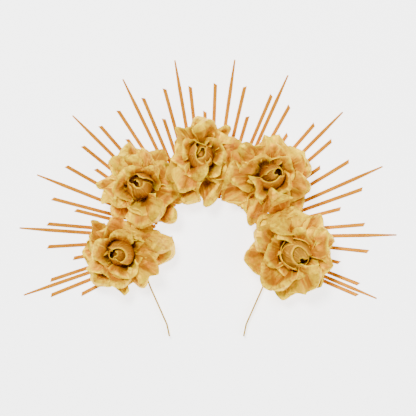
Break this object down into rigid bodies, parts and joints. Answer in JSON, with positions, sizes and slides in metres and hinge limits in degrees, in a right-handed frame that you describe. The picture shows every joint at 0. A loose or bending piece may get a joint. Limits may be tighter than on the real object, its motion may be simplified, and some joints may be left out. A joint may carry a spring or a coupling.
{
  "type": "rose headband",
  "caption": "Costume headband: a thin U-shaped metal band, a sunburst of long flat plastic spikes looped round it and a row of large gold-painted fabric roses on its front.",
  "frame": {"origin": "under the middle of the whole outline, in the plane of the spikes' flat undersides, which the headband lies on", "axes": "+X across the band from its left leg to its right leg, +Y from the band's two ends to its crown, +Z from the flat underside towards the roses' open faces"},
  "size_m": [0.3948, 0.2892, 0.044],
  "materials": {
    "band": "satin gold paint",
    "spikes": "satin orange-gold",
    "petals": "painted gold satin",
    "buds": "painted gold satin"
  },
  "bodies": {
    "root": {"headband": "band", "spike_01": "spikes", "spike_02": "spikes", "spike_03": "spikes", "spike_04": "spikes", "spike_05": "spikes", "spike_06": "spikes", "spike_07": "spikes", "spike_08": "spikes", "spike_09": "spikes", "spike_10": "spikes", "spike_11": "spikes", "spike_12": "spikes", "spike_13": "spikes", "spike_14": "spikes", "spike_15": "spikes", "spike_16": "spikes", "spike_17": "spikes", "spike_18": "spikes", "spike_19": "spikes", "spike_20": "spikes", "spike_21": "spikes", "spike_22": "spikes", "spike_23": "spikes", "spike_24": "spikes", "spike_25": "spikes", "spike_26": "spikes", "spike_27": "spikes", "spike_28": "spikes", "spike_29": "spikes", "spike_30": "spikes", "spike_31": "spikes", "spike_32": "spikes", "spike_33": "spikes", "spike_34": "spikes", "spike_35": "spikes", "spike_36": "spikes", "spike_37": "spikes", "spike_38": "spikes", "spike_39": "spikes", "spike_40": "spikes", "spike_41": "spikes", "spike_42": "spikes", "spike_43": "spikes", "spike_44": "spikes", "spike_45": "spikes", "spike_46": "spikes", "spike_47": "spikes", "spike_48": "spikes", "rose_1_petals": "petals", "rose_2_petals": "petals", "rose_3_petals": "petals", "rose_4_petals": "petals", "rose_5_petals": "petals", "rose_1_bud": "buds", "rose_2_bud": "buds", "rose_3_bud": "buds", "rose_4_bud": "buds", "rose_5_bud": "buds"}
  },
  "joints": []
}
